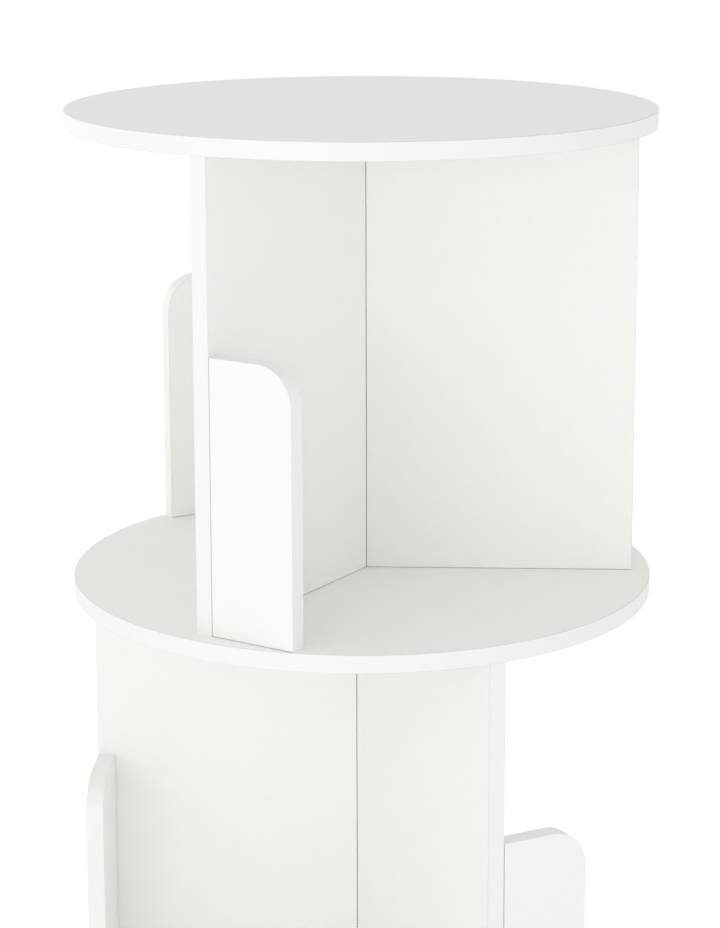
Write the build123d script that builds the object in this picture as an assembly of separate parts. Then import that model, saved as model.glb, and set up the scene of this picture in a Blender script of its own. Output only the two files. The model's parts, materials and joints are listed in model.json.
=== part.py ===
from build123d import *
import math
import os

os.makedirs("parts", exist_ok=True)

# A revolving desktop bookcase: two tiers of white coated board on a ball-bearing turntable.
# Each tier has upright panels set like spokes about the Z axis, and a book stop on each panel.
# The bookcase stands on z = 0 and turns about the Z axis. All sizes are in millimetres.

# Boards and the strips that cover their cut edges
board_thickness = 12.0
band_thickness = 0.8
band_rounding = 0.4
eased_edge = 0.5

# Shelves and tiers
shelf_diameter = 400.0
tier_height = 310.0
tier_names = ("lower", "upper")
shelf_names = ("bottom_shelf", "middle_shelf", "top_board")

# Upright panels: the clearance at their inner ends is the dark joint at the centre
panels_per_tier = 3
panel_rim_inset = 12.5
panel_end_clearance = 0.33

# Book stops: low upright boards that reach from a panel's face to the rim of the shelf
stop_height = 182.0
stop_corner_radius = 26.0
stop_rim_gap = 0.4

# Countersunk screws driven up through a shelf into the boards that stand on it
board_screw_diameter = 4.0
board_screw_length = 40.0
board_screw_head_diameter = 8.0
board_screw_head_sink = 0.2
fixing_from_axis = 45.0
fixing_from_outer_end = 35.0

# Glued dowels in the panels' top ends and between the stops and the panels
dowel_diameter = 6.0
dowel_length = 30.0
dowel_depth_in_face = 8.0
dowel_chamfer = 0.6
stop_dowel_from_end = 40.0

# Fits of screws and dowels in their holes
hole_clearance = 0.1
hole_end_clearance = 1.0

# Cross recess of every screw head
recess_span = 4.4
recess_width = 1.0
recess_depth = 1.4

# Base board
base_diameter = 340.0
access_hole_diameter = 18.0

# Rubber feet
foot_count = 5
foot_height = 8.0
foot_top_diameter = 24.0
foot_bottom_diameter = 21.0
foot_rim_inset = 25.0
foot_rounding = 1.0
foot_counterbore_diameter = 10.0
foot_counterbore_depth = 4.5
foot_screw_length = 12.0

# Pan head screws of the feet and the turntable
pan_screw_diameter = 3.5
pan_head_diameter = 7.0
pan_head_height = 2.2
pan_head_rounding = 0.8
plate_screw_length = 10.0

# Turntable: two pressed sheet plates, a ring of balls between them and a nylon retainer
plate_side = 150.0
plate_corner_radius = 12.0
plate_sheet = 1.2
plate_hole_inset = 12.0
upper_plate_turn = 45.0
lower_plate_bore_diameter = 90.0
ball_diameter = 5.0
ball_count = 18
ball_circle_diameter = 121.0
ball_clearance = 0.1
race_depth = 0.5
race_flange_width = 12.0
flange_inside_balls = 5.5
lip_overlap = 3.5
running_gap = 0.3
rim_gap = 0.5
retainer_wall = 1.6
retainer_pocket_clearance = 0.2
retainer_gap = 0.5

# Levels of the base and the turntable
base_bottom = foot_height
base_top = base_bottom + board_thickness
race_floor = base_top + plate_sheet
ball_seat_height = ball_diameter / 2 + ball_clearance - race_depth
ball_centre_level = race_floor + ball_seat_height
flange_bottom = ball_centre_level + ball_seat_height
flange_top = flange_bottom + plate_sheet
lip_bottom = flange_top + running_gap
lip_top = lip_bottom + plate_sheet
upper_sheet_bottom = lip_top + running_gap
upper_sheet_top = upper_sheet_bottom + plate_sheet

# Plan of a tier, with a panel running along +X and its stop on the +Y side
shelf_radius = shelf_diameter / 2
panel_pitch = 360.0 / panels_per_tier
panel_face = board_thickness / 2
panel_start = panel_face / math.tan(math.radians(panel_pitch / 2)) + panel_end_clearance
panel_reach = shelf_radius - panel_rim_inset
stop_reach = math.sqrt((shelf_radius - stop_rim_gap) ** 2 - panel_reach**2)
panel_fixings = ((fixing_from_axis, 0), (panel_reach - fixing_from_outer_end, 0))
stop_fixing = (panel_reach - board_thickness / 2, (panel_face + stop_reach) / 2)
plate_hole_radius = (plate_side / 2 - plate_hole_inset) * math.sqrt(2)

# Plan of the feet and the balls
foot_web = foot_height - foot_counterbore_depth
foot_circle_radius = base_diameter / 2 - foot_rim_inset
foot_angles = [90 + 360 / foot_count * i for i in range(foot_count)]
ball_angles = [360 / ball_count * i for i in range(ball_count)]


def tier_floor(tier):
    """Level of the shelf surface that a tier's panels stand on."""
    return upper_sheet_top + board_thickness + tier * (tier_height + board_thickness)


def panel_angles(tier):
    """Directions of a tier's panels. Neighbouring tiers are half a pitch apart."""
    first = panel_pitch / 2 * ((tier + 1) % 2)
    return [first + panel_pitch * i for i in range(panels_per_tier)]


def plate_hole_angles(turn):
    """Directions of the four corner holes of a square plate that is turned about Z."""
    return [turn + 45 + 90 * i for i in range(4)]


def turned(*corners):
    """Solid of revolution about Z through (radius, height) corners."""
    outline = make_face(Polyline(*corners, close=True))
    return revolve(Plane.XZ * outline, Axis.Z)


def rod(diameter, bottom, top):
    """Upright cylinder on the Z axis between two levels."""
    standing = (Align.CENTER, Align.CENTER, Align.MIN)
    return Pos(0, 0, bottom) * Cylinder(diameter / 2, top - bottom, align=standing)


def ring(inner_radius, outer_radius, bottom, top):
    """Upright tube on the Z axis between two levels."""
    return rod(2 * outer_radius, bottom, top) - rod(2 * inner_radius, bottom, top)


def block(x_range, y_range, z_range):
    """Box between the given lowest and highest coordinates."""
    sides = [high - low for low, high in (x_range, y_range, z_range)]
    return Pos(x_range[0], y_range[0], z_range[0]) * Box(*sides, align=Align.MIN)


def at_each(shape, points, angles):
    """Copies of a shape at plan points, repeated at each angle about Z."""
    return [Rot(0, 0, angle) * Pos(x, y, 0) * shape for angle in angles for x, y in points]


def at_plate_holes(shape, turn):
    """Copies of a shape at the four corner holes of a square plate."""
    return at_each(shape, [(plate_hole_radius, 0)], plate_hole_angles(turn))


def cut(body, tools):
    """Body with every tool taken away."""
    for tool in tools:
        body -= tool
    return body


def write(name, *shapes):
    """Writes one named piece, or a group of like pieces."""
    solids = [solid for shape in shapes for solid in shape.solids()]
    export_step(solids[0] if len(solids) == 1 else Compound(solids), f"parts/{name}.step")


def banded_disc(diameter, bottom):
    """Round board and the edge strip bent around it."""
    top = bottom + board_thickness
    whole = rod(diameter, bottom, top)
    whole = fillet(whole.edges().filter_by(GeomType.CIRCLE), band_rounding)
    core = rod(diameter - 2 * band_thickness, bottom, top)
    return whole & core, whole - core


def cross_recess(bottom):
    """Tool for the cross in a screw head that faces down, its mouth at the given level."""
    half_span = recess_span / 2
    half_width = recess_width / 2
    depth = (bottom, bottom + recess_depth)
    return block((-half_span, half_span), (-half_width, half_width), depth) + block(
        (-half_width, half_width), (-half_span, half_span), depth
    )


def countersunk_screw():
    """Board screw pointing up, with the face of its head at z = 0."""
    head_radius = board_screw_head_diameter / 2
    shank_radius = board_screw_diameter / 2
    screw = turned(
        (0, 0),
        (head_radius, 0),
        (shank_radius, head_radius - shank_radius),
        (shank_radius, board_screw_length - board_screw_diameter),
        (0, board_screw_length),
    )
    return screw - cross_recess(0)


def countersunk_hole():
    """Tool for a board screw's hole, countersink and head space, placed as the screw is."""
    head_radius = board_screw_head_diameter / 2 + hole_clearance
    shank_radius = board_screw_diameter / 2 + hole_clearance
    end = board_screw_length + hole_end_clearance
    return turned(
        (0, -board_screw_head_sink),
        (head_radius, -board_screw_head_sink),
        (head_radius, 0),
        (shank_radius, head_radius - shank_radius),
        (shank_radius, end),
        (0, end),
    )


def pan_head_screw(length):
    """Pan head screw pointing up, with the seat of its head at z = 0."""
    shank_radius = pan_screw_diameter / 2
    head = rod(pan_head_diameter, -pan_head_height, 0)
    head = fillet(head.edges().sort_by(Axis.Z)[0], pan_head_rounding)
    shank = turned(
        (0, 0),
        (shank_radius, 0),
        (shank_radius, length - pan_screw_diameter),
        (0, length),
    )
    return head + shank - cross_recess(-pan_head_height)


def pan_screw_hole(depth):
    """Tool for a pan head screw's hole from z = 0 up."""
    return rod(pan_screw_diameter + 2 * hole_clearance, 0, depth + hole_end_clearance)


def dowel():
    """Upright beech dowel standing on z = 0."""
    pin = rod(dowel_diameter, 0, dowel_length)
    return chamfer(pin.edges().filter_by(GeomType.CIRCLE), dowel_chamfer)


def dowel_hole():
    """Tool for a dowel's hole, which stays a little longer than the dowel at its lower end."""
    return rod(dowel_diameter + 2 * hole_clearance, -hole_end_clearance, dowel_length)


def stop_dowel_seats(floor):
    """Places of the dowels between a panel and its stop, whose upper ends point into the panel."""
    levels = (floor + stop_dowel_from_end, floor + stop_height - stop_dowel_from_end)
    start = panel_face + dowel_length - dowel_depth_in_face
    return [Pos(stop_fixing[0], start, level) * Rot(90, 0, 0) for level in levels]


def banded_panel(floor):
    """Upright panel along +X and the edge strip on its outer end."""
    levels = (floor, floor + tier_height)
    whole = block((panel_start, panel_reach), (-panel_face, panel_face), levels)
    whole = chamfer(whole.edges().filter_by(Axis.X), eased_edge)
    whole = fillet(whole.edges().filter_by(Axis.Z).sort_by(Axis.X)[-2:], band_rounding)
    core = block((panel_start, panel_reach - band_thickness), (-panel_face, panel_face), levels)
    panel = whole & core
    screw_level = floor - board_thickness + board_screw_head_sink
    dowel_level = floor + tier_height + dowel_depth_in_face - dowel_length
    panel = cut(panel, at_each(Pos(0, 0, screw_level) * countersunk_hole(), panel_fixings, [0]))
    panel = cut(panel, at_each(Pos(0, 0, dowel_level) * dowel_hole(), panel_fixings, [0]))
    panel = cut(panel, [seat * dowel_hole() for seat in stop_dowel_seats(floor)])
    return panel, whole - core


def stop_outline(inset):
    """Face of a book stop seen from outside, taken in along its banded edges."""
    radius = stop_corner_radius - inset
    side = stop_reach - inset
    top = stop_height - inset
    arc_start = (side - radius, top)
    arc_end = (side, top - radius)
    lines = Polyline(arc_end, (side, 0), (panel_face, 0), (panel_face, top), arc_start)
    return make_face([lines, RadiusArc(arc_start, arc_end, radius)])


def free_of_stop(face_edges):
    """Edges of a stop's face that touch neither the shelf nor the panel."""
    return face_edges.sort_by(Axis.Y)[1:].sort_by(Axis.Z)[1:]


def banded_stop(floor):
    """Book stop on the +Y side of the panel along +X, and the strip over its free edges."""
    face = Plane((panel_reach - board_thickness, 0, floor), x_dir=(0, 1, 0), z_dir=(1, 0, 0))
    whole = extrude(face * stop_outline(0), board_thickness)
    edges_on_shelf = whole.edges().filter_by(Axis.Y).sort_by(Axis.Z)[:2]
    edges_at_panel = whole.edges().filter_by(Axis.Z).sort_by(Axis.Y)[:2]
    whole = chamfer(edges_on_shelf + edges_at_panel, eased_edge)
    face_edges = whole.edges().filter_by(Axis.X, reverse=True).group_by(Axis.X)
    free_edges = [edge for group in (face_edges[0], face_edges[-1]) for edge in free_of_stop(group)]
    whole = fillet(free_edges, band_rounding)
    core = extrude(face * stop_outline(band_thickness), board_thickness)
    stop = whole & core
    screw_level = floor - board_thickness + board_screw_head_sink
    stop -= Pos(*stop_fixing, screw_level) * countersunk_hole()
    stop = cut(stop, [seat * dowel_hole() for seat in stop_dowel_seats(floor)])
    return stop, whole - core


def shelf_board(level):
    """Round shelf with the holes for the tier above it and the tier below it, and its edge strip."""
    bottom = tier_floor(level) - board_thickness
    shelf, band = banded_disc(shelf_diameter, bottom)
    if level < len(tier_names):
        hole = Pos(0, 0, bottom + board_screw_head_sink) * countersunk_hole()
        shelf = cut(shelf, at_each(hole, (*panel_fixings, stop_fixing), panel_angles(level)))
    if level > 0:
        socket = Pos(0, 0, bottom + dowel_depth_in_face - dowel_length) * dowel_hole()
        shelf = cut(shelf, at_each(socket, panel_fixings, panel_angles(level - 1)))
    if level == 0:
        pilot = Pos(0, 0, bottom) * pan_screw_hole(plate_screw_length - plate_sheet)
        shelf = cut(shelf, at_plate_holes(pilot, upper_plate_turn))
    return shelf, band


def base_board():
    """Round base board with the screw holes, and its edge strip.

    The large hole lets a screwdriver reach the turning plate's screws, one after another.
    """
    board, band = banded_disc(base_diameter, base_bottom)
    foot_pilot = Pos(0, 0, base_bottom) * pan_screw_hole(foot_screw_length - foot_web)
    plate_pilot = Pos(0, 0, base_top) * Rot(180, 0, 0) * pan_screw_hole(plate_screw_length - plate_sheet)
    access = rod(access_hole_diameter, base_bottom, base_top)
    board = cut(board, at_each(foot_pilot, [(foot_circle_radius, 0)], foot_angles))
    board = cut(board, at_plate_holes(plate_pilot, 0))
    board = cut(board, at_plate_holes(access, upper_plate_turn)[:1])
    return board, band


def rubber_foot():
    """Tapered rubber foot standing on z = 0, with a counterbore for its screw."""
    hole_radius = pan_screw_diameter / 2 + hole_clearance
    foot = turned(
        (hole_radius, foot_counterbore_depth),
        (foot_counterbore_diameter / 2, foot_counterbore_depth),
        (foot_counterbore_diameter / 2, 0),
        (foot_bottom_diameter / 2, 0),
        (foot_top_diameter / 2, foot_height),
        (hole_radius, foot_height),
    )
    rim = foot.edges().group_by(Axis.Z)[0].sort_by(SortBy.RADIUS)[-1]
    return fillet(rim, foot_rounding)


def square_plate(bottom, turn):
    """Square sheet plate with a screw hole near each corner."""
    outline = RectangleRounded(plate_side, plate_side, plate_corner_radius)
    plate = Rot(0, 0, turn) * Pos(0, 0, bottom) * extrude(outline, plate_sheet)
    hole = rod(pan_screw_diameter + 2 * hole_clearance, bottom, bottom + plate_sheet)
    return cut(plate, at_plate_holes(hole, turn))


def race_tool():
    """Ring-shaped tool that cuts the balls' groove."""
    return Pos(0, 0, ball_centre_level) * Torus(ball_circle_diameter / 2, ball_diameter / 2 + ball_clearance)


def turntable_lower_plate():
    """Fixed plate, whose rim is rolled over the flange of the turning plate."""
    wall_inside = ball_circle_diameter / 2 - flange_inside_balls + race_flange_width + rim_gap
    wall_outside = wall_inside + plate_sheet
    lip_inside = wall_inside - rim_gap - lip_overlap
    plate = square_plate(base_top, 0) - rod(lower_plate_bore_diameter, base_top, race_floor)
    plate += ring(wall_inside, wall_outside, race_floor, lip_top)
    plate += ring(lip_inside, wall_outside, lip_bottom, lip_top)
    return plate - race_tool()


def turntable_upper_plate():
    """Turning plate, whose pressed-down flange rides on the balls."""
    web_inside = ball_circle_diameter / 2 - flange_inside_balls
    plate = square_plate(upper_sheet_bottom, upper_plate_turn)
    plate -= rod(2 * web_inside, upper_sheet_bottom, upper_sheet_top)
    plate += ring(web_inside, web_inside + plate_sheet, flange_bottom, upper_sheet_top)
    plate += ring(web_inside, web_inside + race_flange_width, flange_bottom, flange_top)
    return plate - race_tool()


def ball_retainer():
    """Flat nylon ring with a pocket for each ball."""
    pocket_diameter = ball_diameter + 2 * retainer_pocket_clearance
    half_width = pocket_diameter / 2 + retainer_wall
    bottom = race_floor + retainer_gap
    top = flange_bottom - retainer_gap
    circle = ball_circle_diameter / 2
    retainer = ring(circle - half_width, circle + half_width, bottom, top)
    return cut(retainer, at_each(rod(pocket_diameter, bottom, top), [(circle, 0)], ball_angles))


def write_base():
    """Base board on its feet, with the fixed turntable plate."""
    board, band = base_board()
    write("base_board", board)
    write("base_board_edge", band)
    write("rubber_feet", *at_each(rubber_foot(), [(foot_circle_radius, 0)], foot_angles))
    foot_screw = Pos(0, 0, foot_counterbore_depth) * pan_head_screw(foot_screw_length)
    write("foot_screws", *at_each(foot_screw, [(foot_circle_radius, 0)], foot_angles))
    write("turntable_lower_plate", turntable_lower_plate())
    plate_screw = Pos(0, 0, race_floor) * Rot(180, 0, 0) * pan_head_screw(plate_screw_length)
    write("lower_plate_screws", *at_plate_holes(plate_screw, 0))


def write_turntable():
    """Balls in their retainer, and the turning plate."""
    write("ball_retainer", ball_retainer())
    ball = Pos(0, 0, ball_centre_level) * Sphere(ball_diameter / 2)
    write("bearing_balls", *at_each(ball, [(ball_circle_diameter / 2, 0)], ball_angles))
    write("turntable_upper_plate", turntable_upper_plate())
    plate_screw = Pos(0, 0, upper_sheet_bottom) * pan_head_screw(plate_screw_length)
    write("upper_plate_screws", *at_plate_holes(plate_screw, upper_plate_turn))


def write_tier(tier):
    """Panels, stops, screws and dowels of one tier."""
    name = tier_names[tier]
    floor = tier_floor(tier)
    angles = panel_angles(tier)
    panel, panel_edge = banded_panel(floor)
    stop, stop_edge = banded_stop(floor)
    for number, angle in enumerate(angles, 1):
        turn = Rot(0, 0, angle)
        write(f"{name}_panel_{number}", turn * panel)
        write(f"{name}_panel_edge_{number}", turn * panel_edge)
        write(f"{name}_stop_{number}", turn * stop)
        write(f"{name}_stop_edge_{number}", turn * stop_edge)
    screw = Pos(0, 0, floor - board_thickness + board_screw_head_sink) * countersunk_screw()
    write(f"{name}_panel_screws", *at_each(screw, panel_fixings, angles))
    write(f"{name}_stop_screws", *at_each(screw, [stop_fixing], angles))
    top_dowel = Pos(0, 0, floor + tier_height + dowel_depth_in_face - dowel_length) * dowel()
    write(f"{name}_panel_dowels", *at_each(top_dowel, panel_fixings, angles))
    stop_dowels = [seat * dowel() for seat in stop_dowel_seats(floor)]
    write(f"{name}_stop_dowels", *[Rot(0, 0, angle) * pin for angle in angles for pin in stop_dowels])


write_base()
write_turntable()
for level, shelf_name in enumerate(shelf_names):
    shelf, shelf_edge = shelf_board(level)
    write(shelf_name, shelf)
    write(f"{shelf_name}_edge", shelf_edge)
for tier in range(len(tier_names)):
    write_tier(tier)
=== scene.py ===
import json
import math

import bmesh
import bpy
from mathutils import Matrix, Vector


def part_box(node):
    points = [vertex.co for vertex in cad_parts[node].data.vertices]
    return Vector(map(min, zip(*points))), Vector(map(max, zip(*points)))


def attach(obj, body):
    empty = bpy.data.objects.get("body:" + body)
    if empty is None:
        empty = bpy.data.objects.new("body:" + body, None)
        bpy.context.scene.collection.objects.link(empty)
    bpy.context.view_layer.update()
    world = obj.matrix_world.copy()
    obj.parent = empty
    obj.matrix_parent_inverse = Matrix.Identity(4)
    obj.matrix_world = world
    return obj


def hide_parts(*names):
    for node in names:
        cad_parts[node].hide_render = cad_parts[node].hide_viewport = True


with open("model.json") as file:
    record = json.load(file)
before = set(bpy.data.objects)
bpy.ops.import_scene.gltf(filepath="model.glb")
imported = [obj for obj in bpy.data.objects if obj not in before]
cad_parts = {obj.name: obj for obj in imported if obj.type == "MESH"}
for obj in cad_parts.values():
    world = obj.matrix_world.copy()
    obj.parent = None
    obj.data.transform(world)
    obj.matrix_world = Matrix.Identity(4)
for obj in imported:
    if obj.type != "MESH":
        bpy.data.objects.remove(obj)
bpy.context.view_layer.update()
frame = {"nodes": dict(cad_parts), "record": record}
nodes = frame["nodes"]


# --- Shelves and base board ------------------------------------------------------------------
# Discs of particle board pressed between two sheets of white melamine paper, which carry the
# fine pearl grain of the press plate. They are routed round and drilled, so every hole shows
# the brown chips of the core.

shelf_nodes = ("bottom_shelf", "middle_shelf", "top_board", "base_board")
board_white = (0.926, 0.917, 0.898, 1)
board_roughness = 0.45
board_roughness_drift = 0.1
coat_cloud_scale = 16.0
coat_cloud_amount = 0.02
pearl_scale = 1400.0
pearl_depth = 0.0001
wide_pebble_scale = 0.3
wide_pebble_height = 0.8
chip_scale = 500.0
chip_flatness = 2.2
chip_height = 0.9
chip_roughness = 0.35
pale_chip = (0.52, 0.35, 0.19, 1)
dark_chip = (0.25, 0.15, 0.08, 1)
# grey of the eased corners: partly the rubbed-through coating, partly painted shade for the dark seam lines
eased_grey_and_seam_shade = (0.56, 0.54, 0.51, 1)
wall_limit = 0.5  # a face is a wall where its direction has less Z than this


def put(tree, kind, inputs=None, **settings):
    """Adds a node. Inputs give each socket a value or another node's output."""
    node = tree.nodes.new(kind)
    for setting, value in settings.items():
        setattr(node, setting, value)
    for socket, value in (inputs or {}).items():
        if isinstance(value, bpy.types.NodeSocket):
            tree.links.new(value, node.inputs[socket])
        else:
            node.inputs[socket].default_value = value
    return node


def maths(tree, operation, *values):
    """Adds a Math node and returns its output."""
    return put(tree, "ShaderNodeMath", dict(enumerate(values)), operation=operation).outputs[0]


def vectors(tree, operation, *values):
    """Adds a Vector Math node and returns its vector."""
    return put(tree, "ShaderNodeVectorMath", dict(enumerate(values)), operation=operation).outputs[0]


def blend(tree, share, first, second):
    """Mixes two colours by a share from 0 to 1. A Mix node takes colours at its sockets 6 and 7."""
    return put(tree, "ShaderNodeMix", {0: share, 6: first, 7: second}, data_type="RGBA").outputs[2]


def noise(tree, place, scale, detail):
    """Adds a Noise texture and returns its pattern, from 0 to 1."""
    inputs = {"Vector": place, "Scale": scale, "Detail": detail}
    return put(tree, "ShaderNodeTexNoise", inputs).outputs["Fac"]


def new_group(name, inputs, outputs):
    """Starts a node group and returns it with the sockets inside its input and output nodes."""
    group = bpy.data.node_groups.new(name, "ShaderNodeTree")
    for socket_name, (kind, value) in inputs.items():
        socket = group.interface.new_socket(socket_name, in_out="INPUT", socket_type=f"NodeSocket{kind}")
        socket.default_value = value
    for socket_name, kind in outputs.items():
        group.interface.new_socket(socket_name, in_out="OUTPUT", socket_type=f"NodeSocket{kind}")
    return group, group.nodes.new("NodeGroupInput").outputs, group.nodes.new("NodeGroupOutput").inputs


def use_group(tree, group, inputs=None):
    """Places a node group in a material and returns its outputs."""
    return put(tree, "ShaderNodeGroup", inputs, node_tree=group).outputs


def place_on_part(tree):
    """A point of the surface in the bookcase's own frame, in metres."""
    return tree.nodes.new("ShaderNodeTexCoord").outputs["Object"]


def face_direction(tree):
    """X, Y and Z of the way a surface faces, in the bookcase's own frame."""
    normal = tree.nodes.new("ShaderNodeTexCoord").outputs["Normal"]
    return put(tree, "ShaderNodeSeparateXYZ", {0: normal}).outputs


def mottle_group():
    """A colour that drifts a little over the surface, as a coating or a plated skin does."""
    group, given, made = new_group(
        "mottle",
        {"Color": ("Color", (1, 1, 1, 1)), "Scale": ("Float", 20.0), "Amount": ("Float", 0.02)},
        {"Color": "Color", "Pattern": "Float"},
    )
    cloud = noise(group, place_on_part(group), given["Scale"], 3.0)
    swing = maths(group, "SUBTRACT", cloud, 0.5)
    drift = maths(group, "MULTIPLY_ADD", swing, given["Amount"], 1.0)
    group.links.new(vectors(group, "MULTIPLY", given["Color"], drift), made["Color"])
    group.links.new(cloud, made["Pattern"])
    return group


def pearl_group():
    """Height of the small rounded pebbles that a press plate leaves in a coating."""
    group, given, made = new_group("pearl_grain", {"Scale": ("Float", 1000.0)}, {"Height": "Float"})
    place = place_on_part(group)
    wide_scale = maths(group, "MULTIPLY", given["Scale"], wide_pebble_scale)
    pebbles = noise(group, place, given["Scale"], 1.0)
    wide_pebbles = noise(group, place, wide_scale, 0.0)
    height = maths(group, "MULTIPLY_ADD", wide_pebbles, wide_pebble_height, pebbles)
    group.links.new(height, made["Height"])
    return group


def chips_group():
    """Pressed wood chips, as a cut through particle board shows them."""
    group, given, made = new_group(
        "wood_chips", {"Scale": ("Float", 500.0)}, {"Color": "Color", "Height": "Float"}
    )
    flat_chips = vectors(group, "MULTIPLY", place_on_part(group), (1.0, 1.0, chip_flatness))
    chips = put(group, "ShaderNodeTexVoronoi", {"Vector": flat_chips, "Scale": given["Scale"]}).outputs
    shade = put(group, "ShaderNodeSeparateColor", {0: chips["Color"]}).outputs[0]
    group.links.new(blend(group, shade, pale_chip, dark_chip), made["Color"])
    group.links.new(maths(group, "SUBTRACT", 1.0, chips["Distance"]), made["Height"])
    return group


def sawn_round_group():
    """Marks the cut faces of a disc: its rim and the walls of its holes."""
    group, _, made = new_group("sawn_round", {}, {"Mask": "Float"})
    upward = maths(group, "ABSOLUTE", face_direction(group)["Z"])
    group.links.new(maths(group, "LESS_THAN", upward, wall_limit), made["Mask"])
    return group


mottle = mottle_group()
pearl_grain = pearl_group()
wood_chips = chips_group()


def new_material(name):
    """Starts a material and returns it with its node tree and its Principled shader."""
    material = bpy.data.materials.new(name)
    material.use_nodes = True
    tree = material.node_tree
    return material, tree, tree.nodes["Principled BSDF"]


def dress(node_names, material):
    """Gives nodes of the model their finish."""
    for name in node_names:
        nodes[name].material_slots[0].material = material


def roughen(tree, surface, pattern, drift, least):
    """Lets the roughness rise with a pattern, from its least value by up to the drift."""
    tree.links.new(maths(tree, "MULTIPLY_ADD", pattern, drift, least), surface.inputs["Roughness"])


def emboss(tree, surface, height, depth):
    """Raises the surface by a height pattern of the given depth in metres."""
    bump = put(tree, "ShaderNodeBump", {"Height": height, "Distance": depth})
    tree.links.new(bump.outputs[0], surface.inputs["Normal"])


def coated_board(name, sawn, eased=None):
    """Melamine coated particle board, with bare chips on the faces that a group marks as sawn.

    A second group may mark the eased corners, where the coating is rubbed through; their grey is also
    painted shade, drawn as the dark lines at the seams.
    """
    material, tree, surface = new_material(name)
    coat = use_group(
        tree, mottle, {"Color": board_white, "Scale": coat_cloud_scale, "Amount": coat_cloud_amount}
    )
    core = use_group(tree, wood_chips, {"Scale": chip_scale})
    cut = use_group(tree, sawn)["Mask"]
    colour = blend(tree, cut, coat["Color"], core["Color"])
    if eased:
        # painted shade: the eased corners are greyed to draw the dark seam lines, on top of the rubbed
        # coating
        rubbed_and_seam_shade = use_group(tree, eased)["Mask"]
        colour = blend(tree, rubbed_and_seam_shade, colour, eased_grey_and_seam_shade)
    tree.links.new(colour, surface.inputs["Base Color"])
    least = maths(tree, "MULTIPLY_ADD", cut, chip_roughness, board_roughness)
    roughen(tree, surface, coat["Pattern"], board_roughness_drift, least)
    grain = use_group(tree, pearl_grain, {"Scale": pearl_scale})["Height"]
    bare_chips = maths(tree, "MULTIPLY", cut, core["Height"])
    emboss(tree, surface, maths(tree, "MULTIPLY_ADD", bare_chips, chip_height, grain), pearl_depth)
    return material


dress(shelf_nodes, coated_board("coated_shelf_board", sawn_round_group()))


# --- Upright panels and book stops -----------------------------------------------------------
# Straight boards cut from the same coated sheet, with their corners eased. The ends that stand
# on a shelf or meet a board above are bare, and so is the end of each stop that is dowelled to
# its panel.

board_pitch = math.radians(60)
level_limit = 0.9  # a face lies level where its direction has more Z than this
upright_limit = 0.3  # and is upright where it has less Z than this
facing_limit = 0.5  # least alignment of a face that looks towards the panel


def upright_boards(kind):
    """Nodes of one kind of upright board, without their edge strips and fixings."""
    found = [name for name in nodes if f"_{kind}_" in name and "edge" not in name]
    return sorted(name for name in found if name[-1].isdigit())


def alignment(tree, facing, pitch, start=0.0):
    """1 on faces whose bearing is a whole number of pitches from the start, and -1 half way between."""
    bearing = maths(tree, "SUBTRACT", maths(tree, "ARCTAN2", facing["Y"], facing["X"]), start)
    return maths(tree, "COSINE", maths(tree, "MULTIPLY", bearing, 2 * math.pi / pitch))


def sawn_level_group():
    """Marks the cut ends that lie level: the top and the foot of an upright board."""
    group, _, made = new_group("sawn_level", {}, {"Mask": "Float"})
    upward = maths(group, "ABSOLUTE", face_direction(group)["Z"])
    group.links.new(maths(group, "GREATER_THAN", upward, level_limit), made["Mask"])
    return group


def sawn_stop_group():
    """Marks a stop's foot and the upright end at its panel, which faces an odd multiple of 30 degrees."""
    group, _, made = new_group("sawn_stop", {}, {"Mask": "Float"})
    facing = face_direction(group)
    upright = maths(group, "LESS_THAN", maths(group, "ABSOLUTE", facing["Z"]), upright_limit)
    aligned = alignment(group, facing, board_pitch, start=board_pitch / 2)
    end = maths(group, "MULTIPLY", upright, maths(group, "GREATER_THAN", aligned, facing_limit))
    foot = use_group(group, sawn_level)["Mask"]
    group.links.new(maths(group, "MAXIMUM", foot, end), made["Mask"])
    return group


def eased_corner_group():
    """Marks the narrow slanting faces where a board's corners are eased."""
    group, _, made = new_group("eased_corner", {}, {"Mask": "Float"})
    facing = face_direction(group)
    upward = maths(group, "ABSOLUTE", facing["Z"])
    upright = maths(group, "LESS_THAN", upward, upright_limit)
    oblique = maths(group, "LESS_THAN", alignment(group, facing, board_pitch / 2), 0.0)
    side_corner = maths(group, "MULTIPLY", upright, oblique)
    tilted = maths(group, "GREATER_THAN", upward, upright_limit)
    end_corner = maths(group, "SUBTRACT", tilted, use_group(group, sawn_level)["Mask"])
    group.links.new(maths(group, "MAXIMUM", side_corner, end_corner), made["Mask"])
    return group


sawn_level = sawn_level_group()
eased_corner = eased_corner_group()
dress(upright_boards("panel"), coated_board("coated_panel_board", sawn_level, eased_corner))
dress(upright_boards("stop"), coated_board("coated_stop_board", sawn_stop_group(), eased_corner))


# --- Edge strips -----------------------------------------------------------------------------
# White plastic strip, 0.8 mm thick, glued over the sawn edges and rounded with a scraper. It is
# a little smoother than the boards. Round a disc its two ends meet in one fine butt joint.

disc_strips = [f"{name}_edge" for name in shelf_nodes]
upright_strips = sorted(name for name in nodes if "_edge_" in name)
strip_white = (0.901, 0.898, 0.881, 1)
# painted shade on the strips' rounded corners, a darker line where the surface turns away from the light
strip_painted_edge_shade = (0.78, 0.77, 0.75, 1)
strip_roughness = 0.34
strip_roughness_drift = 0.12
strip_relief = 0.000006
across_lines = 2200.0
along_lines = 25.0
glue_line = (0.45, 0.43, 0.4, 1)
butt_joint_bearing = math.radians(100)
butt_joint_half_width = 0.00012
arris_from = 0.2  # Z of a face's direction where a rounded corner leaves the upright face
arris_to = 0.97  # and where it meets the level one
square_limit = 0.9  # least alignment of a face that is square to its board


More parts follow.
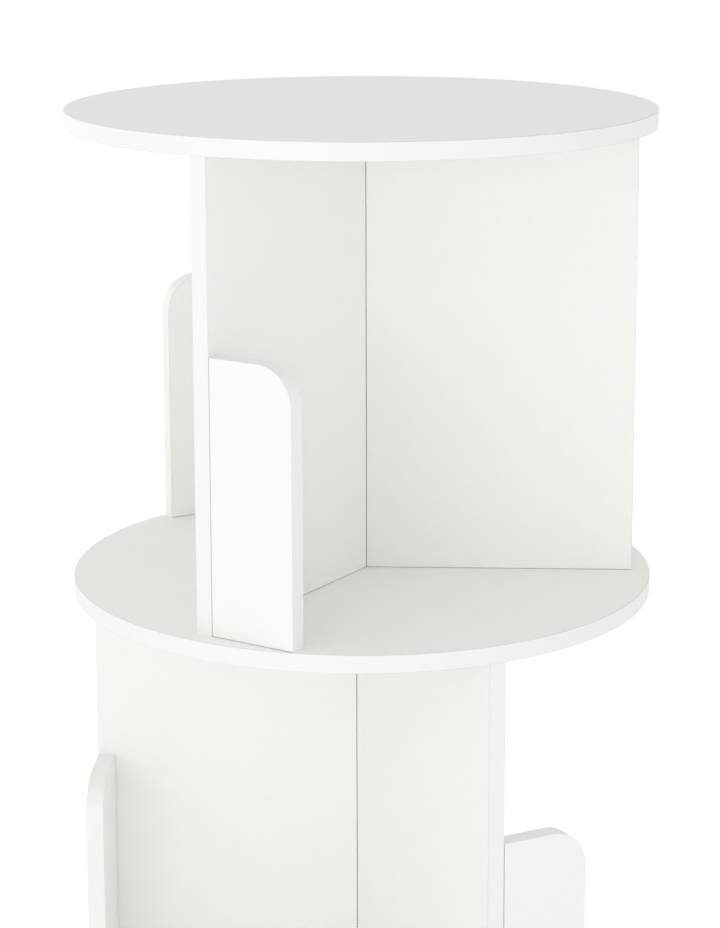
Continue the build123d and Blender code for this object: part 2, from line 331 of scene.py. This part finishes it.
def streaks_group():
    """Fine lines that a roller leaves along a strip. Stretch sets how fast they change each way."""
    group, given, made = new_group(
        "streaks", {"Stretch": ("Vector", (1.0, 1.0, 1.0))}, {"Pattern": "Float"}
    )
    place = vectors(group, "MULTIPLY", place_on_part(group), given["Stretch"])
    group.links.new(noise(group, place, 1.0, 2.0), made["Pattern"])
    return group


def butt_joint_group():
    """Marks the fine line where the two ends of a disc's strip meet."""
    group, given, made = new_group("butt_joint", {"Bearing": ("Float", 0.0)}, {"Mask": "Float"})
    place = put(group, "ShaderNodeSeparateXYZ", {0: place_on_part(group)}).outputs
    along = maths(group, "COSINE", given["Bearing"])
    aside = maths(group, "SINE", given["Bearing"])
    y_along = maths(group, "MULTIPLY", place["Y"], along)
    y_aside = maths(group, "MULTIPLY", place["Y"], aside)
    off_line = maths(group, "SUBTRACT", maths(group, "MULTIPLY", place["X"], aside), y_along)
    outward = maths(group, "ADD", maths(group, "MULTIPLY", place["X"], along), y_aside)
    near = maths(group, "LESS_THAN", maths(group, "ABSOLUTE", off_line), butt_joint_half_width)
    this_side = maths(group, "GREATER_THAN", outward, 0.0)
    group.links.new(maths(group, "MULTIPLY", near, this_side), made["Mask"])
    return group


def disc_arris_group():
    """Marks the rounded corners of a strip that is bent round a disc."""
    group, _, made = new_group("disc_arris", {}, {"Mask": "Float"})
    upward = maths(group, "ABSOLUTE", face_direction(group)["Z"])
    off_wall = maths(group, "GREATER_THAN", upward, arris_from)
    off_level = maths(group, "LESS_THAN", upward, arris_to)
    group.links.new(maths(group, "MULTIPLY", off_wall, off_level), made["Mask"])
    return group


def upright_arris_group():
    """Marks the rounded corners of the strips on panels and stops, but not a stop's large corner."""
    group, _, made = new_group("upright_arris", {}, {"Mask": "Float"})
    facing = face_direction(group)
    upright = maths(group, "LESS_THAN", maths(group, "ABSOLUTE", facing["Z"]), arris_from)
    oblique = maths(group, "LESS_THAN", alignment(group, facing, board_pitch / 2), square_limit)
    side_corner = maths(group, "MULTIPLY", upright, oblique)
    off_end = maths(group, "GREATER_THAN", alignment(group, facing, board_pitch), -square_limit)
    end_corner = maths(group, "MULTIPLY", use_group(group, disc_arris)["Mask"], off_end)
    group.links.new(maths(group, "MAXIMUM", side_corner, end_corner), made["Mask"])
    return group


streaks = streaks_group()
butt_joint = butt_joint_group()
disc_arris = disc_arris_group()
upright_arris = upright_arris_group()


def edge_strip(name, stretch, arris, jointed):
    """Extruded plastic strip with rolled lines along it, and painted shade on the corners that a scraper
    rounded.
    """
    material, tree, surface = new_material(name)
    skin = use_group(
        tree, mottle, {"Color": strip_white, "Scale": coat_cloud_scale, "Amount": coat_cloud_amount}
    )
    # painted shade: the rounded corners are greyed so the edges show as darker lines
    painted_edge_shade = use_group(tree, arris)["Mask"]
    colour = blend(tree, painted_edge_shade, skin["Color"], strip_painted_edge_shade)
    if jointed:
        joint = use_group(tree, butt_joint, {"Bearing": butt_joint_bearing})["Mask"]
        colour = blend(tree, joint, colour, glue_line)
    tree.links.new(colour, surface.inputs["Base Color"])
    lines = use_group(tree, streaks, {"Stretch": stretch})["Pattern"]
    roughen(tree, surface, lines, strip_roughness_drift, strip_roughness)
    emboss(tree, surface, lines, strip_relief)
    return material


disc_lines = (along_lines, along_lines, across_lines)
upright_lines = (across_lines, across_lines, along_lines)
dress(disc_strips, edge_strip("disc_edge_strip", disc_lines, disc_arris, jointed=True))
dress(upright_strips, edge_strip("upright_edge_strip", upright_lines, upright_arris, jointed=False))


# --- Board screws ----------------------------------------------------------------------------
# Chipboard screws, 4 x 40, zinc plated, with a countersunk head and a cross recess. They are
# driven up through each shelf into the panels and stops that stand on it.

board_screw_nodes = ("lower_panel_screws", "lower_stop_screws", "upper_panel_screws", "upper_stop_screws")
metal_cloud_scale = 180.0
metal_cloud_amount = 0.25
metal_roughness = 0.12
metal_roughness_drift = 0.2
screw_steps = 24
thread_steps_per_turn = 6
ridge_half_width = 0.25
recess_span = 0.0044
recess_width = 0.001
recess_depth = 0.0014
recess_taper = 0.7
weld_distance = 0.000001
crease = math.radians(35)


def worked_metal_group():
    """Fine scratches and a cloudy skin, as zinc plating and rolled sheet have."""
    group, given, made = new_group(
        "worked_metal",
        {"Color": ("Color", (1, 1, 1, 1)), "Stretch": ("Vector", (1.0, 1.0, 1.0))},
        {"Color": "Color", "Roughness": "Float", "Height": "Float"},
    )
    skin = use_group(
        group, mottle, {"Color": given["Color"], "Scale": metal_cloud_scale, "Amount": metal_cloud_amount}
    )
    lines = use_group(group, streaks, {"Stretch": given["Stretch"]})["Pattern"]
    clouded = maths(group, "MULTIPLY", skin["Pattern"], metal_roughness_drift)
    worn = maths(group, "MULTIPLY_ADD", lines, metal_roughness_drift, clouded)
    group.links.new(skin["Color"], made["Color"])
    group.links.new(maths(group, "ADD", worn, metal_roughness), made["Roughness"])
    group.links.new(lines, made["Height"])
    return group


worked_metal = worked_metal_group()


def metal(name, colour, stretch, depth):
    """Plated metal with fine lines of a depth in metres."""
    material, tree, surface = new_material(name)
    surface.inputs["Metallic"].default_value = 1.0
    skin = use_group(tree, worked_metal, {"Color": colour, "Stretch": stretch})
    tree.links.new(skin["Color"], surface.inputs["Base Color"])
    tree.links.new(skin["Roughness"], surface.inputs["Roughness"])
    emboss(tree, surface, skin["Height"], depth)
    return material


def solids_in(node_name):
    """The points of each separate solid in a node of the model."""
    mesh = nodes[node_name].data
    group_of = {}
    members = {}
    spot = [tuple(round(c, 6) for c in vertex.co) for vertex in mesh.vertices]
    for place in spot:
        group_of.setdefault(place, place)
        members.setdefault(place, [place])
    for polygon in mesh.polygons:
        first = group_of[spot[polygon.vertices[0]]]
        for index in polygon.vertices[1:]:
            other = group_of[spot[index]]
            if other != first:
                for place in members[other]:
                    group_of[place] = first
                members[first] += members.pop(other)
    return [[Vector(place) for place in places] for places in members.values() if len(places) > 1]


def reach(points, axis):
    """Lowest and highest coordinate of points along an axis."""
    values = [point[axis] for point in points]
    return min(values), max(values)


def middle(points):
    """Centre of the box around points."""
    return Vector(sum(reach(points, axis)) / 2 for axis in range(3))


def upright_places(solids, level):
    """Places that bring an upright shape to the axis of each solid, at a level."""
    centres = [middle(points) for points in solids]
    return [Matrix.Translation((centre.x, centre.y, level)) for centre in centres]


def lathe(mesh, outline, steps, swell=None):
    """Turns an outline of (radius, height) points about Z into rings of vertices and faces.

    A radius of 0 closes the form with a single vertex. swell gives the radius of a point from its
    radius, height and angle.
    """
    rings = []
    for radius, height in outline:
        if radius == 0:
            rings.append([mesh.verts.new((0, 0, height))])
            continue
        ring = []
        for step in range(steps):
            angle = 2 * math.pi * step / steps
            size = swell(radius, height, angle) if swell else radius
            ring.append(mesh.verts.new((size * math.cos(angle), size * math.sin(angle), height)))
        rings.append(ring)
    for first, second in zip(rings, rings[1:]):
        for step in range(steps):
            corners = [
                first[step % len(first)],
                first[(step + 1) % len(first)],
                second[(step + 1) % len(second)],
                second[step % len(second)],
            ]
            mesh.faces.new(list(dict.fromkeys(corners)))
    return rings


def loop_edges(mesh, loop):
    """The edges round a closed loop of vertices, which are made where they aren't there yet."""
    pairs = [(loop[step - 1], loop[step]) for step in range(len(loop))]
    return [mesh.edges.get(pair) or mesh.edges.new(pair) for pair in pairs]


def fill_between(mesh, loops):
    """Closes the flat face that lies between loops of vertices."""
    edges = [edge for loop in loops for edge in loop_edges(mesh, loop)]
    bmesh.ops.triangle_fill(mesh, edges=edges, use_beauty=True, use_dissolve=False)


def cross_outline(size, level):
    """The twelve corners of a cross, shrunk by size."""
    arm = recess_span / 2 * size
    half = recess_width / 2 * size
    quarter = [(arm, -half), (arm, half), (half, half)]
    corners = []
    for turn in range(4):
        for x, y in quarter:
            corner = Vector((x, y, level))
            corners.append(Matrix.Rotation(math.pi / 2 * turn, 3, "Z") @ corner)
    return corners


def cross_recess(mesh, rim):
    """Closes the flat face of a screw's head, at z = 0, with a tapered cross recess."""
    mouth = [mesh.verts.new(corner) for corner in cross_outline(1.0, 0)]
    floor = [mesh.verts.new(corner) for corner in cross_outline(recess_taper, recess_depth)]
    count = len(mouth)
    for step in range(count):
        after = (step + 1) % count
        mesh.faces.new((mouth[step], mouth[after], floor[after], floor[step]))
    mesh.faces.new(floor)
    fill_between(mesh, (rim, mouth))


def finished(name, mesh):
    """Turns a bmesh into mesh data with smooth faces and creased edges."""
    bmesh.ops.remove_doubles(mesh, verts=mesh.verts, dist=weld_distance)
    bmesh.ops.recalc_face_normals(mesh, faces=mesh.faces)
    data = bpy.data.meshes.new(name)
    mesh.to_mesh(data)
    mesh.free()
    data.shade_smooth()
    data.set_sharp_from_angle(angle=crease)
    return data


def stand_in(node_name, shape, places, material, ending):
    """Makes one piece that holds a copy of a shape at each place and stands for a node of the model."""
    whole = bmesh.new()
    for place in places:
        copy = shape.copy()
        copy.transform(place)
        whole.from_mesh(copy)
        bpy.data.meshes.remove(copy)
    data = bpy.data.meshes.new(f"{node_name}_{ending}")
    whole.to_mesh(data)
    whole.free()
    data.materials.append(material)
    piece = bpy.data.objects.new(f"{node_name}_{ending}", data)
    bpy.context.scene.collection.objects.link(piece)
    bodies = frame["record"]["behaviour"]["bodies"]
    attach(piece, next(body for body, members in bodies.items() if node_name in members))
    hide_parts(node_name)


def screw(name, head, start, length, pitch, root_radius, crest_radius, tip_length):
    """Screw pointing up from z = 0, with an outline for its head and neck.

    Its thread grows out of the core at the start and fades into a pointed tip.
    """

    def thread(radius, height, angle):
        """Radius of the screw's surface, whose ridge climbs by one pitch in each turn."""
        if height <= start:
            return radius
        turn = (height / pitch - angle / (2 * math.pi)) % 1.0
        ridge = max(0.0, 1.0 - abs(turn - 0.5) / ridge_half_width)
        grown = min(1.0, (height - start) / pitch)
        slim = min(1.0, (length - height) / tip_length)
        return (root_radius + (crest_radius - root_radius) * ridge * grown) * slim

    rows = math.ceil((length - start) / pitch * thread_steps_per_turn)
    core = [(root_radius, start + (length - start) * row / rows) for row in range(rows)]
    mesh = bmesh.new()
    rings = lathe(mesh, [*head, *core, (0, length)], screw_steps, thread)
    cross_recess(mesh, rings[0])
    return finished(name, mesh)


def board_screw(length):
    """Chipboard screw pointing up, with the flat of its head at z = 0."""
    head_radius = 0.004
    head_edge = 0.0002
    neck_radius = 0.0014
    neck_taper = 0.0005
    thread_start = 0.009
    head = [
        (head_radius, 0),
        (head_radius, head_edge),
        (neck_radius, head_edge + head_radius - neck_radius),
        (neck_radius, thread_start - neck_taper),
    ]
    return screw(
        "board_screw", head, thread_start, length,
        pitch=0.0022, root_radius=0.0012, crest_radius=0.00195, tip_length=0.004,
    )


screw_zinc = metal("zinc_plated_screws", (0.7, 0.71, 0.73, 1), stretch=(900.0, 900.0, 900.0), depth=0.000004)
for node_name in board_screw_nodes:
    screws = solids_in(node_name)
    bottom, top = reach(screws[0], 2)
    places = upright_places(screws, bottom)
    stand_in(node_name, board_screw(top - bottom), places, screw_zinc, "threaded")


# --- Dowels ----------------------------------------------------------------------------------
# Beech dowels, 6 x 30, with pressed flutes that let the glue rise and chamfered ends. They are
# glued between the tops of the panels and the board above, and between each stop and its panel.

dowel_nodes = ("lower_panel_dowels", "upper_panel_dowels", "lower_stop_dowels", "upper_stop_dowels")
dowel_radius = 0.003
dowel_chamfer = 0.0006
flute_count = 12
flute_depth = 0.0003
steps_per_flute = 6
bearing_step = math.radians(30)


def beech():
    """Raw beech, pale brown with short darker flecks."""
    pale_wood = (0.62, 0.42, 0.25, 1)
    fleck_brown = (0.36, 0.2, 0.1, 1)
    fleck_from = 0.62
    fleck_strength = 0.5
    material, tree, surface = new_material("raw_beech")
    wood = use_group(tree, mottle, {"Color": pale_wood, "Scale": 300.0, "Amount": 0.2})
    fibres = use_group(tree, streaks, {"Stretch": (3000.0, 3000.0, 300.0)})["Pattern"]
    fleck = maths(tree, "GREATER_THAN", fibres, fleck_from)
    share = maths(tree, "MULTIPLY", fleck, fleck_strength)
    tree.links.new(blend(tree, share, wood["Color"], fleck_brown), surface.inputs["Base Color"])
    roughen(tree, surface, fibres, drift=0.2, least=0.55)
    emboss(tree, surface, fibres, depth=0.00003)
    return material


def fluted_dowel(length):
    """Upright dowel with its middle at the origin."""

    def flute(radius, height, angle):
        """Radius of the dowel's surface, pressed in at each flute."""
        return radius - flute_depth * (0.5 - 0.5 * math.cos(flute_count * angle))

    end_radius = dowel_radius - dowel_chamfer
    half = length / 2
    outline = [
        (0, -half),
        (end_radius, -half),
        (dowel_radius, -half + dowel_chamfer),
        (dowel_radius, half - dowel_chamfer),
        (end_radius, half),
        (0, half),
    ]
    mesh = bmesh.new()
    lathe(mesh, outline, steps_per_flute * flute_count, flute)
    return finished("fluted_dowel", mesh)


def laid_dowel(points):
    """The turn and the length of a dowel, upright or level at a whole multiple of 30 degrees."""
    low, high = reach(points, 2)
    if high - low > 4 * dowel_radius:
        return Matrix(), high - low
    centre = middle(points)
    far = max(points, key=lambda point: (point - centre).length) - centre
    bearing = bearing_step * round(math.atan2(far.y, far.x) / bearing_step)
    direction = Vector((math.cos(bearing), math.sin(bearing), 0))
    length = 2 * max((point - centre).dot(direction) for point in points)
    return direction.to_track_quat("Z", "Y").to_matrix().to_4x4(), length


raw_beech = beech()
for node_name in dowel_nodes:
    places = []
    for points in solids_in(node_name):
        turn, length = laid_dowel(points)
        places.append(Matrix.Translation(middle(points)) @ turn)
    stand_in(node_name, fluted_dowel(length), places, raw_beech, "fluted")


# --- Turntable plates ------------------------------------------------------------------------
# Two square plates pressed from zinc plated sheet, 1.2 mm thick. The turning plate's middle is
# pressed down into a flange that rides on the balls, and the fixed plate's rim is rolled over it.

sheet = 0.0012
bend = 0.0012
plate_side = 0.15
plate_corner = 0.012
plate_edge = 0.0002
soft_corner = 0.0003
screw_hole_radius = 0.00185
ball_clearance = 0.0001
turning_plate_turn = math.pi / 4
ring_steps = 144
hole_steps = 24
arc_steps = 8
bend_steps = 6
soft_steps = 3


def arc_points(centre, radius, start, end, steps):
    """Points along an arc in the (radius, height) plane, by angles in degrees."""
    points = []
    for step in range(steps + 1):
        angle = math.radians(start + (end - start) * step / steps)
        points.append((centre[0] + radius * math.cos(angle), centre[1] + radius * math.sin(angle)))
    return points


def ring_loop(mesh, radius, level, steps, centre=(0, 0)):
    """Closed loop of vertices on a circle."""
    loop = []
    for step in range(steps):
        angle = 2 * math.pi * step / steps
        spot = (centre[0] + radius * math.cos(angle), centre[1] + radius * math.sin(angle), level)
        loop.append(mesh.verts.new(spot))
    return loop


def square_loop(mesh, side, radius, level):
    """Closed loop of vertices around a square with rounded corners."""
    loop = []
    inner = side / 2 - radius
    for corner, (x, y) in enumerate(((1, 1), (-1, 1), (-1, -1), (1, -1))):
        for spot in arc_points((x * inner, y * inner), radius, 90 * corner, 90 * corner + 90, arc_steps):
            loop.append(mesh.verts.new((*spot, level)))
    return loop


def square_sheet(mesh, bottom, top, inner_radius, holes):
    """Flat part of a plate, open at the inner radius where the pressed ring joins it."""
    levels = []
    edged = ((bottom, plate_edge), (bottom + plate_edge, 0), (top - plate_edge, 0), (top, plate_edge))
    for level, inset in edged:
        loops = [square_loop(mesh, plate_side - 2 * inset, plate_corner - inset, level)]
        loops += [ring_loop(mesh, screw_hole_radius + inset, level, hole_steps, hole) for hole in holes]
        levels.append(loops)
    for lower, upper in zip(levels, levels[1:]):
        for low_loop, high_loop in zip(lower, upper):
            for step in range(len(low_loop)):
                mesh.faces.new((low_loop[step - 1], low_loop[step], high_loop[step], high_loop[step - 1]))
    for loops, level in ((levels[0], bottom), (levels[-1], top)):
        fill_between(mesh, [*loops, ring_loop(mesh, inner_radius, level, ring_steps)])


balls = solids_in("bearing_balls")
ball_low, ball_high = reach(balls[0], 2)
ball_level = (ball_low + ball_high) / 2
ball_circle = middle(balls[0]).xy.length
groove_radius = (ball_high - ball_low) / 2 + ball_clearance


def groove(level):
    """Outline of the balls' groove where it cuts a face at a level, from its inner edge outward."""
    slope = math.degrees(math.asin(abs(level - ball_level) / groove_radius))
    start, end = (180 + slope, 360 - slope) if level < ball_level else (180 - slope, slope)
    return arc_points((ball_circle, ball_level), groove_radius, start, end, arc_steps)


def plate_holes(screw_node, turn=0.0):
    """Plan places of a plate's screw holes, which are where its screws are, before it is turned."""
    back = Matrix.Rotation(-turn, 2)
    return [tuple(back @ middle(points).xy) for points in solids_in(screw_node)]


def fixed_plate():
    """Lower plate with its bored middle, the balls' groove and the rolled rim."""
    bore = 0.045
    rim_outside = 0.0687
    rim_inside = rim_outside - sheet
    lip_inside = 0.064
    join = 0.064
    low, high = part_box("turntable_lower_plate")
    bottom = low[2]
    top = bottom + sheet
    lip_top = high[2]
    lip_bottom = lip_top - sheet
    mesh = bmesh.new()
    square_sheet(mesh, bottom, top, join, plate_holes("lower_plate_screws"))
    outline = [(join, bottom), (bore + plate_edge, bottom), (bore, bottom + plate_edge)]
    outline += [(bore, top - plate_edge), (bore + plate_edge, top), *groove(top), (join, top)]
    lathe(mesh, outline, ring_steps)
    rolled = [(rim_inside, top), (rim_outside, top)]
    rolled += arc_points((rim_outside - bend, lip_top - bend), bend, 0, 90, bend_steps)
    rolled += arc_points((lip_inside + sheet / 2, lip_top - sheet / 2), sheet / 2, 90, 270, arc_steps)
    rolled += [(rim_inside - soft_corner, lip_bottom), (rim_inside, lip_bottom - soft_corner)]
    rolled.append(rolled[0])
    lathe(mesh, rolled, ring_steps)
    return finished("fixed_plate", mesh)


def turning_plate():
    """Upper plate, pressed down at its middle into the flange that rides on the balls."""
    web_inside = 0.055
    web_outside = web_inside + sheet
    flange_outside = 0.067
    join = 0.058
    soft = soft_corner
    low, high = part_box("turntable_upper_plate")
    bottom = low[2]
    top = high[2]
    sheet_bottom = top - sheet
    mesh = bmesh.new()
    holes = plate_holes("upper_plate_screws", turning_plate_turn)
    square_sheet(mesh, sheet_bottom, top, join, holes)
    outline = [(join, top)]
    outline += arc_points((web_inside + bend, top - bend), bend, 90, 180, bend_steps)
    outline += arc_points((web_inside + bend, bottom + bend), bend, 180, 270, bend_steps)
    outline += groove(bottom)
    outline += arc_points((flange_outside - soft, bottom + soft), soft, 270, 360, soft_steps)
    outline += arc_points((flange_outside - soft, bottom + sheet - soft), soft, 0, 90, soft_steps)
    outline += arc_points((web_outside + soft, bottom + sheet + soft), soft, 270, 180, soft_steps)
    outline += arc_points((web_outside + soft, sheet_bottom - soft), soft, 180, 90, soft_steps)
    outline.append((join, sheet_bottom))
    lathe(mesh, outline, ring_steps)
    return finished("turning_plate", mesh)


zinc_sheet = metal("zinc_plated_sheet", (0.72, 0.73, 0.74, 1), stretch=(60.0, 1500.0, 300.0), depth=0.000006)
turned = Matrix.Rotation(turning_plate_turn, 4, "Z")
stand_in("turntable_lower_plate", fixed_plate(), [Matrix()], zinc_sheet, "pressed")
stand_in("turntable_upper_plate", turning_plate(), [turned], zinc_sheet, "pressed")


# --- Balls and their retainer ----------------------------------------------------------------
# Hardened steel balls, ground and polished, held apart by a flat ring moulded in natural nylon.
# They lie loose between the two plates and roll round at half the speed of the bookcase.

def polished_steel():
    """Ground and polished steel, with a faint cloudiness."""
    material, tree, surface = new_material("polished_steel")
    surface.inputs["Metallic"].default_value = 1.0
    skin = use_group(tree, mottle, {"Color": (0.78, 0.79, 0.8, 1), "Scale": 400.0, "Amount": 0.05})
    tree.links.new(skin["Color"], surface.inputs["Base Color"])
    roughen(tree, surface, skin["Pattern"], drift=0.08, least=0.06)
    return material


def moulded(name, colour, cloud_scale, cloud_amount, roughness, drift, grain_scale, grain_depth):
    """Moulded plastic or rubber, with a clouded colour and a fine pebbled skin."""
    material, tree, surface = new_material(name)
    skin = use_group(tree, mottle, {"Color": colour, "Scale": cloud_scale, "Amount": cloud_amount})
    tree.links.new(skin["Color"], surface.inputs["Base Color"])
    roughen(tree, surface, skin["Pattern"], drift, roughness)
    emboss(tree, surface, use_group(tree, pearl_grain, {"Scale": grain_scale})["Height"], grain_depth)
    return material


natural_nylon = moulded(
    "natural_nylon", colour=(0.74, 0.72, 0.64, 1), cloud_scale=120.0, cloud_amount=0.06,
    roughness=0.4, drift=0.15, grain_scale=2500.0, grain_depth=0.000008,
)
dress(["bearing_balls"], polished_steel())
dress(["ball_retainer"], natural_nylon)


# --- Pan head screws -------------------------------------------------------------------------
# Zinc plated pan head screws, 3.5 mm, with a cross recess: 10 mm long in the two turntable
# plates, and 12 mm long in the rubber feet.

pan_screw_nodes = ("lower_plate_screws", "upper_plate_screws", "foot_screws")
head_down_nodes = ("upper_plate_screws", "foot_screws")
crown_steps = 5


def pan_head_screw(length):
    """Pan head screw pointing up, with the crown of its head at z = 0."""
    head_radius = 0.0035
    head_height = 0.0022
    crown = 0.0008
    head = arc_points((head_radius - crown, crown), crown, 270, 360, crown_steps)
    head.append((head_radius, head_height))
    return screw(
        "pan_head_screw", head, head_height, length,
        pitch=0.0016, root_radius=0.0012, crest_radius=0.0017, tip_length=0.0035,
    )


upside_down = Matrix.Rotation(math.pi, 4, "X")
for node_name in pan_screw_nodes:
    screws = solids_in(node_name)
    bottom, top = reach(screws[0], 2)
    if node_name in head_down_nodes:
        places = upright_places(screws, bottom)
    else:
        places = [place @ upside_down for place in upright_places(screws, top)]
    stand_in(node_name, pan_head_screw(top - bottom), places, screw_zinc, "threaded")


# --- Feet ------------------------------------------------------------------------------------
# Tapered feet moulded in black rubber, each held by a screw in its counterbore. The contact face
# has a shallow ring groove for grip.

foot_steps = 64


def rubber_foot(height):
    """Foot standing on z = 0."""
    top_radius = 0.012
    bottom_radius = 0.0105
    hole_radius = 0.00185
    bore_radius = 0.005
    bore_depth = 0.0045
    rounding = 0.001
    soft = 0.0004
    groove_inner, groove_outer = 0.0072, 0.0082
    outline = [
        (hole_radius, bore_depth),
        (bore_radius, bore_depth),
        *arc_points((bore_radius + soft, soft), soft, 180, 270, soft_steps),
        (groove_inner, 0),
        (groove_inner + soft / 2, soft),
        (groove_outer - soft / 2, soft),
        (groove_outer, 0),
        *arc_points((bottom_radius - rounding, rounding), rounding, 270, 360, crown_steps),
        *arc_points((top_radius - soft, height - soft), soft, 0, 90, soft_steps),
        (hole_radius, height),
    ]
    outline.append(outline[0])
    mesh = bmesh.new()
    lathe(mesh, outline, foot_steps)
    return finished("rubber_foot", mesh)


moulded_rubber = moulded(
    "moulded_rubber", colour=(0.028, 0.028, 0.029, 1), cloud_scale=90.0, cloud_amount=0.5,
    roughness=0.62, drift=0.2, grain_scale=1800.0, grain_depth=0.00004,
)
feet = solids_in("rubber_feet")
foot_low, foot_high = reach(feet[0], 2)
foot_places = upright_places(feet, foot_low)
stand_in("rubber_feet", rubber_foot(foot_high - foot_low), foot_places, moulded_rubber, "moulded")


# --- Studio ----------------------------------------------------------------------------------
# A plain pale floor under an even white surround, with four large soft panels of light: a tall
# one at the left, and low ones in front, at the right and behind.

def pale_floor():
    """Floor that reaches past every view and is lit up a little from within."""
    half_side = 30.0
    glow = 0.18
    glow_seen = 0.15
    mesh = bpy.data.meshes.new("floor")
    signs = ((-1, -1), (1, -1), (1, 1), (-1, 1))
    corners = [(x * half_side, y * half_side, 0) for x, y in signs]
    mesh.from_pydata(corners, [], [(0, 1, 2, 3)])
    floor = bpy.data.objects.new("floor", mesh)
    bpy.context.scene.collection.objects.link(floor)
    material, tree, surface = new_material("floor")
    surface.inputs["Base Color"].default_value = (0.9, 0.9, 0.9, 1)
    surface.inputs["Roughness"].default_value = 0.9
    surface.inputs["Emission Color"].default_value = (1, 1, 1, 1)
    seen = tree.nodes.new("ShaderNodeLightPath").outputs["Is Camera Ray"]
    tree.links.new(maths(tree, "MULTIPLY_ADD", seen, glow_seen, glow), surface.inputs["Emission Strength"])
    mesh.materials.append(material)


def soft_panel(name, bearing, level, width, height, brightness):
    """Upright sheet of light at a bearing in degrees, facing the axis. Brightness 1 is pure white."""
    distance = 2.5
    light = bpy.data.lights.new(name, "AREA")
    light.shape = "RECTANGLE"
    light.size = width
    light.size_y = height
    light.energy = brightness * math.pi * width * height
    panel = bpy.data.objects.new(name, light)
    angle = math.radians(bearing)
    outward = Vector((math.cos(angle), math.sin(angle), 0))
    panel.location = outward * distance + Vector((0, 0, level))
    panel.rotation_euler = outward.to_track_quat("Z", "Y").to_euler()
    panel.visible_camera = False
    bpy.context.scene.collection.objects.link(panel)


pale_floor()
soft_panel("left_light", bearing=-135, level=1.325, width=2.0, height=1.75, brightness=0.52)
soft_panel("front_light", bearing=-105, level=0.8, width=2.0, height=0.7, brightness=1.24)
soft_panel("right_light", bearing=-45, level=0.8, width=2.0, height=0.7, brightness=0.5)
soft_panel("back_light", bearing=135, level=0.8, width=2.0, height=0.7, brightness=1.12)

surround_brightness = 0.795
world = bpy.data.worlds.new("studio")
bpy.context.scene.world = world
world.use_nodes = True
world.node_tree.nodes["Background"].inputs["Color"].default_value = (1, 1, 1, 1)
world.node_tree.nodes["Background"].inputs["Strength"].default_value = surround_brightness


# --- Camera ----------------------------------------------------------------------------------
# A long lens from the front, a little above the top board. It looks down on the shelves and
# holds the upper tier and the top of the lower one.

camera_place = (0.0764, -1.7456, 0.8786)
camera_heading = math.radians(2.505)
camera_tilt = math.radians(78.743)
camera_roll = math.radians(-0.129)
camera_data = bpy.data.cameras.new("camera")
camera_data.lens = 100.65
camera_data.shift_x = -0.00153
camera_data.shift_y = -0.1444
camera = bpy.data.objects.new("camera", camera_data)
camera.location = camera_place
camera.rotation_euler = (
    Matrix.Rotation(camera_heading, 3, "Z")
    @ Matrix.Rotation(camera_tilt, 3, "X")
    @ Matrix.Rotation(camera_roll, 3, "Z")
).to_euler()
bpy.context.scene.collection.objects.link(camera)
bpy.context.scene.camera = camera
bpy.context.scene.view_settings.view_transform = "Standard"
